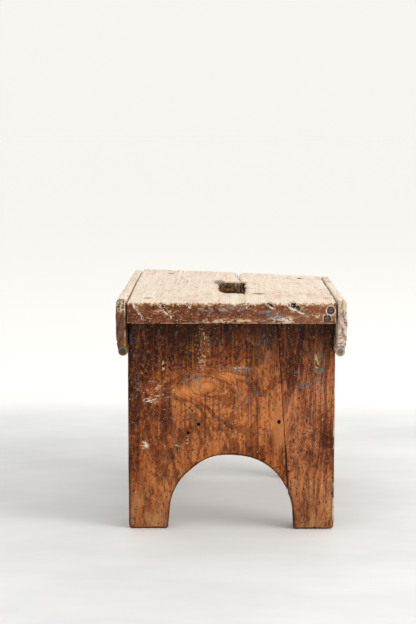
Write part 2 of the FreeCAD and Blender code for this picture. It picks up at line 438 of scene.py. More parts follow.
def leg_board(node, name, side, seed, holes):
    """One board of a leg, with worn arrises, a rounded foot and its part of the arch.

    holes are the x and z of old nail holes in its front face.
    """
    block = Block(node, VOXEL)
    x, z = block.x, block.z
    faces = leg_faces(node, side)
    outer, joint, top, sole, opening, front, rear = faces(x, block.y, z)
    ragged = block.noise((5, 5, 9), seed)
    planed = 0.14 * block.noise((5, 12, 70), seed + 1) + 0.1 * block.noise((22, 30, 50), seed + 2)
    front = front + planed
    rear = rear + planed
    opening = opening + 0.45 * block.noise((16, 40, 16), seed + 3)
    arris = np.clip(2.6 + 0.8 * ragged, 0.8, 5)
    thin = np.clip(1.0 + 0.5 * ragged, 0.3, 3)
    edges = [(opening, sole, thin + 1.0), (outer, sole, np.clip(4.6 + 0.8 * ragged, 2, 7))]
    for face in (front, rear):
        edges += [(outer, face, arris), (face, opening, thin), (face, sole, thin + 0.6)]
        edges += [(face, joint, 0.25), (face, top, 0.5)]
    body = worn_solid(edges)
    bead_x = HALF_LEG + BEAD_OUT
    bead = np.hypot(side * x - bead_x, z - APRON_BOTTOM - BEAD_RADIUS)
    body = np.maximum(body, -(bead - BEAD_RADIUS - BEAD_CLEARANCE))
    cut = np.full(block.counts, FAR_FROM_CUTS)
    for hole_x, hole_z in holes:
        point = (hole_x, corners(node)[0][1], hole_z)
        old_nail = hole(block, point, REARWARDS, OLD_HOLE_RADIUS, OLD_HOLE_DEPTH)
        body = np.maximum(body, -old_nail)
        cut = np.minimum(cut, old_nail)
    body = pitted(block, body, seed + 4, 4.0, 1.9, 0.8)
    return block.mesh(name, body, faces, cut)


# ---- the aprons ----


def apron_top(side, y):
    """Height of an apron's top edge."""
    rise = APRON_TOP_REAR[side] - APRON_TOP_FRONT
    return APRON_TOP_FRONT + rise * (y + HALF_LENGTH) / (2 * HALF_LENGTH)


def apron_faces(side):
    """A function that gives distances from an apron's outer, inner, top and end faces."""

    def faces(x, y, z):
        out = side * x - HALF_LEG
        rise = z - APRON_BOTTOM
        bow = APRON_BOW * ((rise - APRON_MIDDLE) / APRON_MIDDLE) ** 2
        lean = APRON_LEAN * np.clip((QUIRK_UP - rise) / QUIRK_UP, 0, 1)
        outer = out - APRON_THICKNESS + bow + lean
        return (
            outer + 0 * y,
            -out + 0 * y + 0 * z,
            z - apron_top(side, y) + 0 * x,
            -HALF_LENGTH - y,
            y - HALF_LENGTH,
        )

    return faces


APRON_LEG_NAIL_Z = 211.0
APRON_SEAT_NAIL_Z = 232.0
APRON_SEAT_NAIL_Y = (-72.0, 14.0, 92.0)
APRON_LEG_NAIL_Y = {-1: (-111.0, 110.0), 1: (-118.0, 119.0)}


def apron_nail_places(side):
    """The point and the direction of each nail in an apron: those in the legs, then the seat."""
    face = side * (HALF_LEG + APRON_THICKNESS)
    inward = RIGHTWARDS if side < 0 else LEFTWARDS
    in_legs = [((face, y, APRON_LEG_NAIL_Z), inward) for y in APRON_LEG_NAIL_Y[side]]
    in_seat = [((face, y, APRON_SEAT_NAIL_Z), inward) for y in APRON_SEAT_NAIL_Y]
    return in_legs, in_seat


def apron_board(node, name, side, seed):
    """A thin board with a bead along its lower edge and a quirk above the bead."""
    block = Block(node, VOXEL)
    faces = apron_faces(side)
    outer, inner, top, front, rear = faces(block.x, block.y, block.z)
    ragged = block.noise((5, 8, 5), seed)
    planed = 0.12 * block.noise((20, 60, 4), seed + 1)
    outer = outer + planed + 0.15 * block.noise((30, 40, 20), seed + 2)
    out = side * block.x - HALF_LEG
    rise = block.z - APRON_BOTTOM
    bead = np.hypot(out - BEAD_OUT, rise - BEAD_RADIUS) - BEAD_RADIUS
    bead = bead + 0.15 * ragged
    edges = ((outer, top, np.clip(3.4 + 0.5 * ragged, 1, 6)), (inner, top, 0.7))
    board = np.maximum(worn_solid(edges), np.maximum(outer, inner))
    board = np.maximum(board, BEAD_RADIUS - rise)
    board = np.minimum(board, bead)
    quirk = np.hypot(out - APRON_THICKNESS + 0.2, rise - QUIRK_UP) - QUIRK_RADIUS
    board = worn_edge(board, -quirk, 0.5)
    board = worn_edge(board, front, np.clip(1.1 + 0.5 * ragged, 0.3, 3))
    board = np.maximum(worn_edge(board, rear, 2.4), worn_edge(top, rear, 9.0))
    cut = quirk + 0.3
    in_legs, in_seat = apron_nail_places(side)
    board, cut = sink_nails(block, board, cut, in_legs + in_seat)
    board = pitted(block, board, seed + 3, 4.0, 1.8, 0.8)
    return block.mesh(name, board, faces, cut)


# ---- nails ----

NAIL_SHANK = 1.4
SEAT_NAIL_LENGTH = 58.0
APRON_NAIL_LENGTH = 38.0
CORNER_NAIL_LENGTH = 34.0
NAIL_SEGMENTS = 20
HEAD_DEPTH = 1.3  # the hammered part of a nail, down from its top
HEAD_OVAL = 0.07  # how far out of round a head is, as a share of its radius
HEAD_ROUGH = 0.04
HEAD_DENTS = 0.07


def nail_profile(length):
    """(radius, depth) points down a nail, from the middle of its hammered head to its point."""
    return (
        (0.8, 0.1),
        (1.7, 0.0),
        (2.5, 0.12),
        (3.0, 0.3),
        (NAIL_HEAD, 0.65),
        (3.1, 1.1),
        (2.4, 1.4),
        (NAIL_SHANK, 1.7),
        (NAIL_SHANK, length * 0.5),
        (NAIL_SHANK, length - 5.0),
        (0.7, length - 2.0),
        (0.15, length),
    )


def nails(name, places, length, seed):
    """A group of nails, each with its own hammered, slightly out-of-round head."""
    rng = np.random.default_rng(seed)
    build = bmesh.new()
    for point, inward in places:
        turn = Vector((0, 0, 1)).rotation_difference(Vector(inward)).to_matrix().to_4x4()
        seat = Matrix.Translation((Vector(point) + NAIL_SINK * Vector(inward)) * MM) @ turn
        phase = rng.uniform(0, math.tau)
        rings = []
        for radius, depth in nail_profile(length):
            ring = []
            for k in range(NAIL_SEGMENTS):
                angle = math.tau * k / NAIL_SEGMENTS
                is_head = depth < HEAD_DEPTH
                swell = 0
                if is_head:
                    swell = HEAD_OVAL * math.sin(2 * angle + phase) + HEAD_ROUGH * rng.normal()
                r = radius * (1 + swell)
                z = depth + (HEAD_DENTS * rng.normal() if is_head else 0)
                corner = Vector((r * math.cos(angle), r * math.sin(angle), z)) * MM
                ring.append(build.verts.new(seat @ corner))
            rings.append(ring)
        for upper, lower in zip(rings, rings[1:]):
            for k in range(NAIL_SEGMENTS):
                n = (k + 1) % NAIL_SEGMENTS
                build.faces.new((upper[k], upper[n], lower[n], lower[k]))
        build.faces.new(rings[0][::-1])
        build.faces.new(rings[-1])
    bmesh.ops.recalc_face_normals(build, faces=build.faces)
    data = bpy.data.meshes.new(name)
    build.to_mesh(data)
    build.free()
    data.shade_smooth()
    return add_object(name, data)


# ---- materials ----


def rgb(red, green, blue):
    """A colour given as 0 to 255 screen values, as linear light."""
    linear = []
    for value in (red, green, blue):
        v = value / 255
        linear.append(v / 12.92 if v <= 0.04045 else ((v + 0.055) / 1.055) ** 2.4)
    return (*linear, 1)


class Paint:
    """A node material.  Most methods add a node or two and return an output."""

    def __init__(self, name, specular):
        self.material = bpy.data.materials.new(name)
        self.material.use_nodes = True
        self.tree = self.material.node_tree
        self.shader = self.tree.nodes["Principled BSDF"]
        self.shader.inputs["Specular IOR Level"].default_value = specular
        source = self.tree.nodes.new("ShaderNodeTexCoord").outputs["Object"]
        self.place = self.vector("SCALE", source, scale=1 / MM)
        split = self.node("ShaderNodeSeparateXYZ", {"Vector": self.place})
        self.x, self.y, self.z = split.outputs

    def node(self, kind, inputs, **settings):
        """A new node, set up and joined to its inputs."""
        new = self.tree.nodes.new(kind)
        for key, value in settings.items():
            setattr(new, key, value)
        for key, value in inputs.items():
            self.put(new.inputs[key], value)
        return new

    def put(self, socket, value):
        """Gives a socket a value, or a link if the value is another node's output."""
        if isinstance(value, bpy.types.NodeSocket):
            self.tree.links.new(value, socket)
        else:
            socket.default_value = value

    def math(self, operation, a, b=0, c=0):
        return self.node("ShaderNodeMath", {0: a, 1: b, 2: c}, operation=operation).outputs[0]

    def vector(self, operation, a, b=(0, 0, 0), scale=1):
        new = self.node("ShaderNodeVectorMath", {0: a, 1: b, 3: scale}, operation=operation)
        return new.outputs["Value" if operation == "LENGTH" else "Vector"]

    def noise(self, cell, seed, detail, rough=0.55, twist=0, colour=False):
        """Noise from 0 to 1, or three as a colour.  cell is its grain along X, Y and Z."""
        scaled = self.vector("MULTIPLY", self.place, tuple(1 / size for size in cell))
        place = self.vector("ADD", scaled, (seed * 7.3, seed * 3.1, seed * 5.7))
        inputs = {"Vector": place, "Scale": 1, "Detail": detail}
        inputs |= {"Roughness": rough, "Distortion": twist}
        new = self.node("ShaderNodeTexNoise", inputs)
        return new.outputs["Color" if colour else "Fac"]

    def lines(self, value, detail):
        """Noise from 0 to 1 that changes along one value only."""
        inputs = {"W": value, "Scale": 1, "Detail": detail}
        return self.node("ShaderNodeTexNoise", inputs, noise_dimensions="1D").outputs["Fac"]

    def hypotenuse(self, a, b):
        """The square root of a squared plus b squared."""
        return self.math("SQRT", self.plus(self.product(a, a), self.product(b, b)))

    def span(self, value, low, high, to_low=0, to_high=1):
        """value from low to high, mapped smoothly and held at both ends."""
        inputs = {"Value": value, "From Min": low, "From Max": high}
        inputs |= {"To Min": to_low, "To Max": to_high}
        new = self.node("ShaderNodeMapRange", inputs, interpolation_type="SMOOTHSTEP")
        return new.outputs["Result"]

    def fall(self, value, low, high):
        """1 at low, falling smoothly to 0 at high."""
        return self.span(value, low, high, 1, 0)

    def band(self, value, low, high, soft):
        """1 between low and high, with both ends blurred by soft to either side."""
        rise = self.span(value, low - soft, low + soft)
        return self.product(rise, self.fall(value, high - soft, high + soft))

    def reach(self, centre, size):
        """Distance from an ellipsoid's centre, 1 at its surface.  size is its half extents."""
        moved = self.vector("SUBTRACT", self.place, centre)
        return self.vector("LENGTH", self.vector("MULTIPLY", moved, tuple(1 / s for s in size)))

    def spot(self, centre, size, soft=0.5):
        """1 at an ellipsoid's centre and out to the share soft, falling to 0 at its surface."""
        return self.span(self.reach(centre, size), soft, 1, 1, 0)

    def mix(self, share, a, b, blend="MIX"):
        """The colour a with a share of b laid over it."""
        new = self.node("ShaderNodeMix", {}, data_type="RGBA", blend_type=blend)
        self.put(new.inputs["Factor"], share)
        self.put(new.inputs[6], a)
        self.put(new.inputs[7], b)
        return new.outputs[2]

    def tint(self, base, value, low, high, share, colour, blend="MIX"):
        """base with a colour laid over it, from none up to a share as value goes low to high."""
        return self.mix(self.span(value, low, high, 0, share), base, colour, blend)

    def ramp(self, value, stops):
        """A colour ramp through (position, colour) stops."""
        new = self.node("ShaderNodeValToRGB", {"Fac": value})
        points = new.color_ramp.elements
        while len(points) < len(stops):
            points.new(1)
        for point, (position, colour) in zip(points, stops):
            point.position = position
            point.color = colour
        return new.outputs["Color"]

    def product(self, *values):
        total = values[0]
        for value in values[1:]:
            total = self.math("MULTIPLY", total, value)
        return total

    def plus(self, a, b):
        return self.math("ADD", a, b)

    def minus(self, a, b):
        return self.math("SUBTRACT", a, b)

    def scaled(self, a, factor, plus):
        """a times a factor, plus another value."""
        return self.math("MULTIPLY_ADD", a, factor, plus)

    def lay(self, base, colour, *shares):
        """base with a colour laid over it by the product of several shares."""
        return self.mix(self.product(*shares), base, colour)

    def carved(self, *names):
        """The values that Block.mesh stored under some names."""
        nodes = [self.node("ShaderNodeAttribute", {}, attribute_name=name) for name in names]
        return [node.outputs["Fac"] for node in nodes]

    def finish(self, colour, roughness, height, bump_mm):
        """Joins colour, roughness and a height from 0 to 1 to the shader."""
        self.put(self.shader.inputs["Base Color"], colour)
        self.put(self.shader.inputs["Roughness"], roughness)
        inputs = {"Height": height, "Strength": 1, "Distance": bump_mm * MM}
        bump = self.node("ShaderNodeBump", inputs)
        self.put(self.shader.inputs["Normal"], bump.outputs["Normal"])
        return self.material


def wood(paint, along, pith, ring_mm, seed, knots=()):
    """Growth rings, fibres and streaks for a board whose grain runs along an axis, "Y" or "Z".

    pith is the rings' centre, across the board and through it.  Each knot is a centre, its half
    extents and how far it pushes the rings.  All three results run from 0 to 1.
    """
    upright = along == "Z"
    through, length = (paint.y, paint.z) if upright else (paint.z, paint.y)

    def cell(width, run):
        return (width, width, run) if upright else (width, run, width)

    wander = paint.noise(cell(60, 240), seed, 2, colour=True)
    drift = paint.node("ShaderNodeSeparateColor", {"Color": wander})
    a = paint.minus(paint.x, pith[0] + 13)
    a = paint.scaled(drift.outputs[0], 26, a)
    b = paint.minus(through, pith[1] + 15)
    b = paint.scaled(drift.outputs[1], 30, b)
    b = paint.scaled(length, 0.11, b)
    radius = paint.hypotenuse(a, b)
    for centre, size, push in knots:
        reach = paint.reach(centre, size)
        squared = paint.product(reach, reach)
        swell = paint.math("EXPONENT", paint.product(squared, -1))
        radius = paint.scaled(swell, push, radius)
    ripple = paint.noise(cell(7, 22), seed + 2, 2)
    radius = paint.scaled(ripple, 3, radius)
    rings = paint.lines(paint.math("DIVIDE", radius, ring_mm), 1.5)
    fibres = paint.noise(cell(0.8, 24), seed, 3, 0.6)
    streaks = paint.noise(cell(3.4, 110), seed + 1, 3, 0.6)
    return rings, fibres, streaks


def flecks(paint, cell, seed, cutoff, soft=0.03):
    """Scattered flecks of a size, where a noise passes the cutoff."""
    field = paint.noise(cell, seed, 2.5, 0.6, 0.6)
    return paint.span(field, cutoff, cutoff + soft)


def flecked(paint, base, cell, seed, cutoff, share, colour):
    """base with a share of a colour laid over it in scattered flecks."""
    return paint.lay(base, colour, flecks(paint, cell, seed, cutoff), share)


def near_arris(paint, arris, width, noise):
    """1 at an arris, falling to 0 raggedly at about a width in from it."""
    ragged = paint.scaled(noise, -2 * width, paint.plus(arris, width))
    return paint.fall(ragged, width * 0.8, width * 1.2)


def seat_top_distance(paint):
    """Height above the seat's top face, as a node value."""
    share = paint.math("DIVIDE", paint.plus(paint.y, HALF_LENGTH), 2 * HALF_LENGTH)
    rise = paint.product(paint.product(share, paint.x), SEAT_TWIST / HALF_WIDTH)
    return paint.minus(paint.plus(paint.z, rise), STOOL_HEIGHT)


def bleached(paint, rings, fibres, streaks, seed):
    """Scrubbed, sun-bleached pine.  Returns its colour, its blotches and its fine cracks."""
    stops = ((0.25, rgb(216, 198, 178)), (0.5, rgb(229, 213, 196)), (0.75, rgb(238, 226, 211)))
    pale = paint.ramp(streaks, stops)
    pale = paint.tint(pale, rings, 0.56, 0.74, 0.2, rgb(200, 164, 136))
    pale = paint.tint(pale, fibres, 0.62, 0.8, 0.35, rgb(168, 136, 112))
    blotch = paint.noise((30, 46, 30), seed, 5, 0.68)
    pale = paint.tint(pale, blotch, 0.5, 0.7, 0.5, rgb(200, 160, 134))
    mottle = paint.noise((5, 9, 5), seed + 3, 6, 0.75)
    pale = paint.tint(pale, mottle, 0.54, 0.66, 0.5, rgb(184, 146, 116))
    pale = paint.tint(pale, mottle, 0.44, 0.34, 0.6, rgb(244, 234, 222))
    cracks = paint.product(flecks(paint, (1.5, 30, 4), seed + 1, 0.66), 0.75)
    pale = paint.mix(cracks, pale, rgb(104, 78, 58))
    pale = flecked(paint, pale, (2.6, 5, 2.6), seed + 2, 0.69, 0.6, rgb(112, 90, 78))
    return pale, blotch, cracks


def old_paint(paint):
    """Chalky red-brown paint, rubbed and scratched to bare wood.  Returns it and its texture."""
    rough = paint.noise((8, 8, 5), 6, 6, 0.72)
    stops = ((0.3, rgb(74, 36, 24)), (0.5, rgb(108, 58, 38)), (0.7, rgb(146, 92, 66)))
    red = paint.ramp(rough, stops)
    red = paint.tint(red, paint.x, -40, 100, 0.3, rgb(176, 118, 92))
    scrapes = paint.noise((6, 6, 1.4), 7, 4, 0.65)
    red = paint.tint(red, scrapes, 0.54, 0.66, 0.6, rgb(66, 34, 28))
    red = flecked(paint, red, (1.5, 2, 1.5), 12, 0.62, 0.5, rgb(44, 24, 22))
    red = flecked(paint, red, (2.2, 2.6, 2.2), 13, 0.61, 0.55, rgb(196, 150, 112))
    bare = flecks(paint, (6, 5, 1.8), 8, 0.615, 0.05)
    red = paint.lay(red, rgb(212, 184, 150), bare, 0.7)
    # Bare and blue patches on the seat's end: middle and half extents in X and Z, and colour.
    for centre, size, colour in (
        ((52, 226), (20, 7), rgb(222, 206, 178)),
        ((90, 231), (22, 3.4), rgb(222, 194, 150)),
        ((66, 238), (12, 5), rgb(226, 210, 180)),
        ((-2, 225), (44, 4), rgb(214, 184, 148)),
        ((-68, 235), (18, 5), rgb(196, 152, 116)),
        ((-10, 238), (40, 4), rgb(150, 136, 140)),
        ((38, 234), (9, 4.5), rgb(104, 136, 146)),
        ((47, 229.5), (8, 4.5), rgb(96, 138, 156)),
    ):
        near = paint.spot((centre[0], -HALF_LENGTH, centre[1]), (size[0], 6, size[1]), 0.3)
        torn = flecks(paint, (5, 3, 2), centre[0], 0.5, 0.04)
        red = paint.lay(red, colour, near, torn, 0.9)
    return red, rough


def seat_material():
    """Scrubbed and bleached on top, with old red-brown paint on the end grain."""
    paint = Paint("seat_pine", 0.1)
    rings, fibres, streaks = wood(paint, "Y", (20, 160), 3.2, 1)
    worn, arris, cut = paint.carved("worn", "arris", "cut")
    pale, blotch, cracks = bleached(paint, rings, fibres, streaks, 3)
    red, rough = old_paint(paint)
    above = seat_top_distance(paint)
    on_end = paint.fall(paint.y, -HALF_LENGTH + 1, -HALF_LENGTH + 2)
    tatters = paint.noise((3.2, 6, 3.2), 14, 4, 0.7)
    ragged = paint.scaled(tatters, 13, paint.minus(above, 3.6))
    lower = paint.fall(ragged, 0, 0.9)
    colour = paint.mix(paint.product(on_end, lower), pale, red)
    hem = paint.product(on_end, paint.span(ragged, -1.6, 0.6))
    hem = paint.product(hem, paint.fall(ragged, 0, 2.4))
    colour = paint.lay(colour, rgb(204, 158, 108), hem, 0.75)
    nicks = flecks(paint, (2, 4, 3), 15, 0.6)
    nicks = paint.product(on_end, nicks, paint.band(above, -5.5, -0.5, 1))
    colour = paint.lay(colour, rgb(46, 30, 24), nicks, 0.85)

    raw = paint.ramp(streaks, ((0.3, rgb(112, 78, 52)), (0.7, rgb(158, 118, 84))))
    below = paint.fall(above, -SEAT_THICKNESS * 0.75, -SEAT_THICKNESS * 0.55)
    inside = paint.product(below, paint.minus(1, on_end))
    colour = paint.mix(inside, colour, raw)
    low_arris = paint.product(near_arris(paint, arris, 0.8, tatters), paint.span(above, -14, -18))
    colour = paint.lay(colour, rgb(216, 188, 150), low_arris, 0.8)
    # Painted highlight on the lit left lip of each cut in the seat's end.
    lip_highlight = paint.product(paint.band(cut, 0.5, 1.3, 0.2), on_end, paint.span(above, -20, -18))
    colour = paint.lay(colour, rgb(226, 212, 190), lip_highlight, 0.85)

    # Inside the slot, the split, the scoop, the dent and the cuts: rough end grain mixed with
    # painted shade, laid on more fully the deeper it lies.
    carved = paint.fall(cut, 0.3, 0.9)
    stops = ((0.38, rgb(34, 24, 14)), (0.5, rgb(96, 68, 40)), (0.64, rgb(168, 130, 84)))
    hollow = paint.ramp(tatters, stops)
    colour = paint.lay(colour, hollow, carved, paint.span(worn, 0.7, 2, 0.15, 1))
    # Painted shade deep in the cuts near the front end.
    chopped = paint.fall(paint.y, -HALF_LENGTH + 9, -HALF_LENGTH + 11)
    depth = paint.span(worn, 0.7, 1.3)
    colour = paint.lay(colour, rgb(38, 30, 24), carved, chopped, depth, 0.9)
    scooped = paint.spot((-21, 30, STOOL_HEIGHT), (11, 15, 9))
    blue = flecks(paint, (5, 7, 5), 17, 0.42)
    colour = paint.lay(colour, rgb(134, 138, 156), scooped, blue, 0.8)
    # Painted shade on the scoop's far side, by the slot.
    scoop_shade = paint.spot((-14.5, 38, STOOL_HEIGHT), (8, 12, 9))
    colour = paint.lay(colour, rgb(88, 70, 66), scoop_shade, 0.7)
    # Painted shade on the far wall of the dent.
    dent_shade = paint.spot((28, -75, STOOL_HEIGHT), (8, 6, 9))
    colour = paint.lay(colour, rgb(104, 84, 56), dent_shade, 0.8)
    beside_slot = paint.spot((20.5, -35, STOOL_HEIGHT), (6, 18, 5), 0.4)
    grey = flecks(paint, (5, 12, 5), 18, 0.5)
    colour = paint.lay(colour, rgb(160, 156, 150), beside_slot, grey, 0.6)
    rim = paint.product(paint.band(cut, 0.6, 3, 0.5), paint.span(above, -1.5, -0.5))
    colour = paint.lay(colour, rgb(206, 168, 130), rim, 0.35)

    height = paint.scaled(fibres, 0.5, paint.product(rough, 0.7))
    height = paint.minus(height, paint.product(cracks, 0.8))
    roughness = paint.span(blotch, 0.3, 0.7, 0.62, 0.85)
    return paint.finish(colour, roughness, height, 0.7)


def leg_material(name, seed, front, tone, knots):
    """Orange-brown varnish over knotty pine, with grime and painted shade at the top, scrubbed bare
    at the foot.

    front says whether it is the front leg.  tone is the wood's dark, middle and light colours.
    """
    paint = Paint(name, 0.12)
    rings, fibres, streaks = wood(paint, "Z", (-30, 60), 2.7, seed, knots)
    arris, cut = paint.carved("arris", "cut")
    shade = paint.noise((26, 26, 62), seed + 2, 5, 0.62)
    height_tone = paint.span(paint.z, 215, 120, -0.16, 0.06)
    left_tone = paint.span(paint.x, -55, -100, 0, -0.12)
    shade = paint.plus(paint.plus(shade, height_tone), left_tone)
    if front:
        # Lighter and darker zones: middle x and z, half extents, and how much lighter.
        for x, z, half_x, half_z, lighter in (
            (20, 128, 84, 62, 0.16),
            (88, 152, 38, 46, 0.22),
            (84, 192, 24, 22, 0.2),
            (-95, 112, 28, 46, -0.2),
            (-52, 190, 32, 30, -0.2),
            (-12, 150, 46, 26, 0.22),
            (-98, 165, 22, 26, -0.16),
            (-70, 60, 30, 40, 0.12),
        ):
            zone = paint.spot((x, -LEG_FACE, z), (half_x, 60, half_z), 0)
            shade = paint.scaled(zone, lighter, shade)
    dark, middle, light = tone
    broad = paint.noise((11, 11, 130), seed + 8, 3, 0.6)
    shade = paint.scaled(broad, 0.3, paint.minus(shade, 0.15))
    base = paint.ramp(shade, ((0.28, dark), (0.48, middle), (0.7, light)))
    grit = paint.noise((2.6, 2.6, 4.5), seed + 9, 4, 0.8)
    base = paint.tint(base, grit, 0.51, 0.62, 0.85, rgb(166, 122, 98), "MULTIPLY")
    base = paint.tint(base, grit, 0.47, 0.36, 0.55, rgb(214, 132, 68))
    base = paint.tint(base, rings, 0.47, 0.62, 0.62, rgb(150, 112, 84), "MULTIPLY")
    base = paint.tint(base, streaks, 0.5, 0.68, 0.6, rgb(150, 106, 86), "MULTIPLY")
    base = paint.tint(base, fibres, 0.52, 0.72, 0.6, rgb(140, 106, 92), "MULTIPLY")
    base = paint.tint(base, streaks, 0.46, 0.3, 0.35, rgb(198, 122, 64))

    foot_noise = paint.noise((10, 10, 24), seed + 3, 5, 0.65)
    foot = paint.product(paint.span(paint.z, 66, 8, 0, 0.85), paint.span(foot_noise, 0.34, 0.56))
    bare = paint.ramp(foot_noise, ((0.35, rgb(132, 82, 50)), (0.65, rgb(186, 130, 84))))
    base = paint.mix(foot, base, bare)

    grime_and_shade_noise = paint.noise((16, 16, 30), seed + 4, 6, 0.68)
    # Grime mixed with painted shade under the seat's overhang: dark from the top down, reaching
    # lower at the right.
    rise = paint.scaled(grime_and_shade_noise, 70, paint.z)
    rise = paint.plus(rise, paint.span(paint.x, 50, 105, 0, 14))
    base = paint.tint(base, rise, 222, 270, 0.85, rgb(34, 20, 11))
    base = paint.tint(base, grime_and_shade_noise, 0.52, 0.62, 0.6, rgb(66, 28, 16))

    teal_zone = paint.span(paint.z, 40, 150, 0.3, 1)
    teal = paint.product(flecks(paint, (2.2, 2.2, 5), seed + 5, 0.625), teal_zone)
    base = paint.lay(base, rgb(66, 92, 92), teal, 0.85)
    base = flecked(paint, base, (2, 2, 2.6), seed + 6, 0.69, 0.8, rgb(206, 190, 156))
    pits = flecks(paint, (1.8, 1.8, 5), seed + 7, 0.625)
    base = paint.lay(base, rgb(24, 15, 12), pits, 0.85)
    if front:
        base = front_leg_marks(paint, base)

    # Painted shade along the rounded arrises, wider low down round the arch and the feet; at the
    # joint it narrows to a thin dark line.
    joint = (JOINT_X_TOP + JOINT_X_FLOOR) / 2
    at_joint = paint.spot((joint, 0, 150), (13, 400, 120), 0.9)
    low = paint.span(paint.z, 92, 84)
    width = paint.plus(low, 1)
    width = paint.minus(width, paint.product(at_joint, 0.75))
    edge = near_arris(paint, paint.math("DIVIDE", arris, width), 1, foot_noise)
    base = paint.lay(base, rgb(44, 32, 22), edge, 0.75)
    # Cream strip down the right arris of the narrow boards: bare worn wood and a painted highlight
    # from the light on the right.
    bright = paint.product(near_arris(paint, arris, 1.3, foot_noise), paint.span(paint.x, 96, 104))
    patchy = paint.span(grime_and_shade_noise, 0.42, 0.54)
    base = paint.lay(base, rgb(222, 194, 156), bright, patchy, 0.85)
    base = paint.mix(paint.fall(cut, 0.5, 1.3), base, rgb(20, 13, 10))
    height = paint.scaled(fibres, 0.5, paint.product(rings, 0.35))
    height = paint.minus(height, paint.product(pits, 0.7))
    roughness = paint.span(grime_and_shade_noise, 0.3, 0.7, 0.4, 0.62)
    return paint.finish(base, roughness, height, 0.4)


def front_leg_marks(paint, base):
    """The bright knot, the column of cream specks, splashes and streaks on the front leg."""

    def near(x, z, half_x, half_z, soft=0.3):
        return paint.spot((x, -LEG_FACE, z), (half_x, 25, half_z), soft)

    from_knot = paint.vector("SUBTRACT", paint.place, (-26, 0, 152))
    from_knot = paint.vector("LENGTH", paint.vector("MULTIPLY", from_knot, (0.72, 0, 1)))
    waver = paint.noise((13, 13, 13), 30, 2)
    ripples = paint.scaled(waver, 5, paint.math("DIVIDE", from_knot, 2.9))
    rings = paint.lines(ripples, 1)
    around = near(-8, 141, 60, 44, 0.25)
    for place in ((-46, 147, 19, 9), (-28, 154, 20, 10), (-4, 163, 19, 7)):
        base = paint.lay(base, rgb(216, 136, 76), near(*place, 0), 0.9)
    base = paint.lay(base, rgb(108, 52, 24), paint.span(rings, 0.46, 0.58), around, 0.52)
    tongue = paint.product(near(50, 112, 10, 34, 0.5), paint.span(paint.x, 38, 44))
    base = paint.lay(base, rgb(196, 124, 74), tongue, 0.7)
    # Middle x and z with half extents, the flecks' size and cutoff, and the colour.
    marks = (
        ((-30, 195, 10, 32), (1.8, 2, 2.4), 0.585, rgb(200, 188, 150)),
        ((-78, 148, 28, 16), (7, 4, 1.5), 0.615, rgb(216, 202, 168)),
        ((-84, 137, 11, 4.5), (6, 4, 1.8), 0.52, rgb(228, 216, 190)),
        ((-71, 174, 3, 7), (1.8, 3, 6), 0.52, rgb(214, 200, 170)),
        ((34, 192, 14, 28), (1.8, 2, 8), 0.56, rgb(70, 90, 84)),
        ((20, 150, 26, 34), (2.2, 2, 8), 0.61, rgb(76, 104, 108)),
        ((9, 171, 13, 4), (3, 3, 1.6), 0.53, rgb(150, 180, 190)),
        ((-38, 160, 16, 12), (2.6, 3, 4), 0.58, rgb(84, 120, 128)),
        ((91, 168, 11, 28), (2.2, 2, 6), 0.54, rgb(88, 110, 108)),
        ((89, 178, 5, 14), (2, 2, 6), 0.54, rgb(206, 176, 118)),
        ((77, 154, 8, 6), (2.4, 3, 2.4), 0.52, rgb(78, 118, 122)),
        ((-102, 198, 6, 20), (2.2, 3, 5), 0.53, rgb(66, 104, 106)),
        ((-91, 90, 7, 6), (3, 3, 2.4), 0.52, rgb(216, 204, 180)),
        ((-60, 95, 24, 20), (6, 3, 2), 0.66, rgb(196, 176, 150)),
    )
    for number, (place, cell, cutoff, colour) in enumerate(marks):
        base = paint.lay(base, colour, near(*place), flecks(paint, cell, 31 + number, cutoff))
    return base


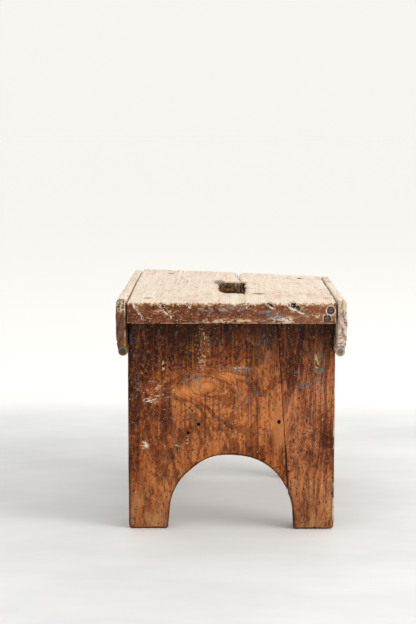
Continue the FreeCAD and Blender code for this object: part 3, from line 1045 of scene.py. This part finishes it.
def apron_material(name, side, seed, tones):
    """Bleached along the top like the seat, brown below, with a dark bead end in a pale ring.

    tones are the wood's dark and light, the outer arris's painted shade (left) or highlight
    (right), and the bead end's ring and disc.
    """
    dark, light, outer_arris_light, ring_colour, disc_colour = tones
    paint = Paint(name, 0.12)
    rings, fibres, streaks = wood(paint, "Y", (side * 150, 215), 3, seed)
    arris, cut = paint.carved("arris", "cut")
    blotch = paint.noise((9, 34, 9), seed + 1, 5, 0.68)
    base = paint.ramp(blotch, ((0.3, dark), (0.7, light)))
    base = paint.tint(base, rings, 0.5, 0.7, 0.55, rgb(140, 100, 76), "MULTIPLY")
    base = paint.tint(base, fibres, 0.55, 0.75, 0.6, rgb(130, 100, 86), "MULTIPLY")
    base = flecked(paint, base, (2.4, 7, 2), seed + 2, 0.66, 0.7, rgb(84, 104, 104))
    base = flecked(paint, base, (2.2, 2.6, 2.2), seed + 3, 0.62, 0.75, rgb(62, 42, 44))
    on_end = paint.fall(paint.y, -HALF_LENGTH + 0.6, -HALF_LENGTH + 1.4)
    smudges = paint.product(on_end, flecks(paint, (4, 6, 2.6), seed + 7, 0.54))
    base = paint.lay(base, rgb(92, 66, 74), smudges, 0.7)
    pale, _, cracks = bleached(paint, rings, fibres, streaks, seed + 4)
    back = paint.span(paint.y, -HALF_LENGTH + 2, -HALF_LENGTH + 8)
    above = paint.minus(paint.z, STOOL_HEIGHT - 4)
    drop = paint.span(paint.scaled(blotch, 10, above), 3, 7)
    base = paint.lay(base, pale, drop, back)

    out = paint.product(paint.x, side)
    bead_x = paint.minus(out, HALF_LEG + BEAD_OUT)
    bead_z = paint.minus(paint.z, APRON_BOTTOM + BEAD_RADIUS)
    from_bead = paint.hypotenuse(bead_x, bead_z)
    crown = paint.span(paint.scaled(blotch, 12, paint.z), 238, 244)
    crown = paint.product(on_end, crown)
    speckle = flecks(paint, (2.6, 2.6, 2.6), seed + 6, 0.48)
    base = paint.lay(base, rgb(206, 190, 158), crown, speckle, 0.85)
    clear_of_bead = paint.span(paint.z, APRON_BOTTOM + 9, APRON_BOTTOM + 12)
    inner_half = paint.span(out, HALF_LEG + 5.5, HALF_LEG + 4.5)
    line = paint.product(near_arris(paint, arris, 0.7, blotch), clear_of_bead)
    base = paint.lay(base, rgb(224, 208, 178), line, inner_half, on_end, 0.9)
    # Painted light on the outer arris of the end: shade on the left apron, which faces away from
    # the window, a highlight on the right.
    outer_half = paint.minus(1, inner_half)
    base = paint.lay(base, outer_arris_light, line, outer_half, on_end, 0.9)
    base = paint.lay(base, ring_colour, on_end, paint.span(from_bead, 5.2, 4.2), 0.6)
    base = paint.lay(base, disc_colour, on_end, paint.span(from_bead, 3.9, 2.4), 0.9)
    rim = paint.product(on_end, paint.span(from_bead, 4.4, 4.9), paint.span(from_bead, 6.4, 5.8))
    base = paint.lay(base, rgb(44, 38, 30), rim, 0.45)
    base = paint.mix(paint.span(cut, 0.2, 0.8, 0.8, 0), base, rgb(36, 26, 20))
    height = paint.scaled(fibres, 0.5, paint.product(blotch, 0.6))
    height = paint.minus(height, paint.product(cracks, 0.5))
    roughness = paint.span(blotch, 0.3, 0.7, 0.45, 0.7)
    return paint.finish(base, roughness, height, 0.5)


def iron_material():
    """Rusted nail iron, rubbed brighter on the high spots."""
    paint = Paint("nail_iron", 0.5)
    paint.shader.inputs["Metallic"].default_value = 0.6
    rust = paint.noise((1.4, 1.4, 1.4), 2, 5, 0.7)
    stops = ((0.3, rgb(40, 32, 28)), (0.5, rgb(88, 66, 54)), (0.66, rgb(156, 148, 138)))
    colour = paint.ramp(rust, stops)
    roughness = paint.span(rust, 0.3, 0.7, 0.75, 0.45)
    return paint.finish(colour, roughness, rust, 0.15)


# ---- assembly ----


def place_piece(piece, node, material):
    """Gives a piece its material and body, and lets it stand for its CAD node."""
    piece.data.materials.append(material)
    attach(piece, BODY)
    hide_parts(node)


SEED_SHARE = 0.37  # a material's seed is this share of its board's


def build_boards():
    """The seat, the four leg boards and the two aprons."""
    place_piece(seat_board(), "seat_board", seat_material())

    knots = (
        ((-30.0, -LEG_FACE, 156.0), (26.0, 40.0, 15.0), 26.0),
        ((-12.0, -LEG_FACE, 136.0), (40.0, 60.0, 30.0), 16.0),
    )
    wide_tone = (rgb(88, 42, 20), rgb(146, 78, 38), rgb(198, 122, 68))
    narrow_tone = (rgb(92, 44, 26), rgb(146, 82, 50), rgb(190, 122, 80))
    old_holes = ((-45.0, 103.0), (-34.0, 112.0), (50.0, 115.0))
    legs = (
        ("front_leg_wide_board", "front_leg_wide", -1, 20, old_holes, wide_tone, knots),
        ("front_leg_narrow_board", "front_leg_narrow", 1, 30, (), narrow_tone, ()),
        ("rear_leg_wide_board", "rear_leg_wide", -1, 40, (), wide_tone, ()),
        ("rear_leg_narrow_board", "rear_leg_narrow", 1, 50, (), narrow_tone, ()),
    )
    for node, name, side, seed, holes, tone, knot_list in legs:
        front = node.startswith("front")
        material = leg_material(name + "_pine", seed * SEED_SHARE, front, tone, knot_list)
        place_piece(leg_board(node, name, side, seed, holes), node, material)

    # Each apron's tones: dark and light wood, the painted light on its outer arris (shade on the
    # left, highlight on the right), and the bead end's ring and disc.
    brown = (rgb(92, 56, 36), rgb(144, 98, 66), rgb(30, 26, 22), rgb(122, 104, 80), rgb(58, 60, 50))
    tan = (
        rgb(182, 156, 140),
        rgb(230, 214, 196),
        rgb(236, 224, 206),
        rgb(184, 162, 140),
        rgb(104, 92, 82),
    )
    aprons = (
        ("left_apron", "left_apron_beaded", -1, 60, brown),
        ("right_apron", "right_apron_beaded", 1, 70, tan),
    )
    for node, name, side, seed, tones in aprons:
        material = apron_material(name + "_pine", side, seed * SEED_SHARE, tones)
        place_piece(apron_board(node, name, side, seed), node, material)


def build_nails():
    """Every group of nails."""
    iron = iron_material()
    groups = []
    for node in SEAT_NAILS:
        groups.append((node, seat_nail_places(node), SEAT_NAIL_LENGTH))
    for side, word in ((-1, "left"), (1, "right")):
        in_legs, in_seat = apron_nail_places(side)
        groups.append((word + "_apron_leg_nails", in_legs, APRON_NAIL_LENGTH))
        groups.append((word + "_apron_seat_nails", in_seat, APRON_NAIL_LENGTH))
    groups.append(("seat_corner_nails", corner_nail_places(), CORNER_NAIL_LENGTH))
    for number, (node, places, length) in enumerate(groups):
        piece = nails(node + "_hammered", places, length, 80 + number)
        place_piece(piece, node, iron)


# ---- floor, light and camera ----

FLOOR_SIZE = 60.0
CAMERA_PLACE = (0.0003, -1.7205, 0.4327)
CAMERA_YAW = 0.888
CAMERA_DOWN = 7.21
FOCAL_LENGTH = 89.4
CAMERA_REACH = 200.0
WINDOW_PLACE = Vector((1.7, -0.75, 1.35))
WINDOW_TARGET = Vector((0, 0, 0.12))
WINDOW_SIZE = 1.3
WINDOW_POWER = 26.0
WINDOW_COLOUR = (1.0, 0.98, 0.95)


def floor():
    """A large pale floor that turns white behind the stool and far around it."""
    data = bpy.data.meshes.new("floor")
    half = FLOOR_SIZE / 2
    points = [(-half, -half, 0), (half, -half, 0), (half, half, 0), (-half, half, 0)]
    data.from_pydata(points, [], [(0, 1, 2, 3)])
    piece = add_object("floor", data)
    paint = Paint("pale_floor", 0.2)
    clouds = paint.noise((160, 90, 160), 1.0, 5.0, 0.6)
    near = paint.ramp(clouds, ((0.3, rgb(220, 221, 223)), (0.7, rgb(232, 233, 235))))
    behind = paint.span(paint.y, 420.0, 700.0)
    around = paint.span(paint.vector("LENGTH", paint.place), 1400.0, 2200.0)
    far = paint.math("MAXIMUM", behind, around)
    colour = paint.mix(far, near, (1.0, 1.0, 1.0, 1.0))
    piece.data.materials.append(paint.finish(colour, 0.6, clouds, 0.4))


def studio():
    """Soft daylight from the front right, with an even pale surround."""
    world = bpy.data.worlds.new("surround")
    world.use_nodes = True
    background = world.node_tree.nodes["Background"]
    background.inputs["Color"].default_value = rgb(246, 245, 240)
    background.inputs["Strength"].default_value = 1.0
    bpy.context.scene.world = world
    bpy.context.scene.view_settings.view_transform = "Standard"
    data = bpy.data.lights.new("window", "AREA")
    data.size = WINDOW_SIZE
    data.energy = WINDOW_POWER
    data.color = WINDOW_COLOUR
    window = add_object("window", data)
    window.location = WINDOW_PLACE
    window.rotation_euler = (WINDOW_TARGET - WINDOW_PLACE).to_track_quat("-Z", "Y").to_euler()


def camera():
    """A long lens, a little above the seat, looking along the stool."""
    data = bpy.data.cameras.new("camera")
    data.lens = FOCAL_LENGTH
    data.clip_end = CAMERA_REACH
    eye = add_object("camera", data)
    eye.location = CAMERA_PLACE
    eye.rotation_euler = (math.radians(90 - CAMERA_DOWN), 0, math.radians(CAMERA_YAW))
    bpy.context.scene.camera = eye


build_boards()
build_nails()
floor()
studio()
camera()
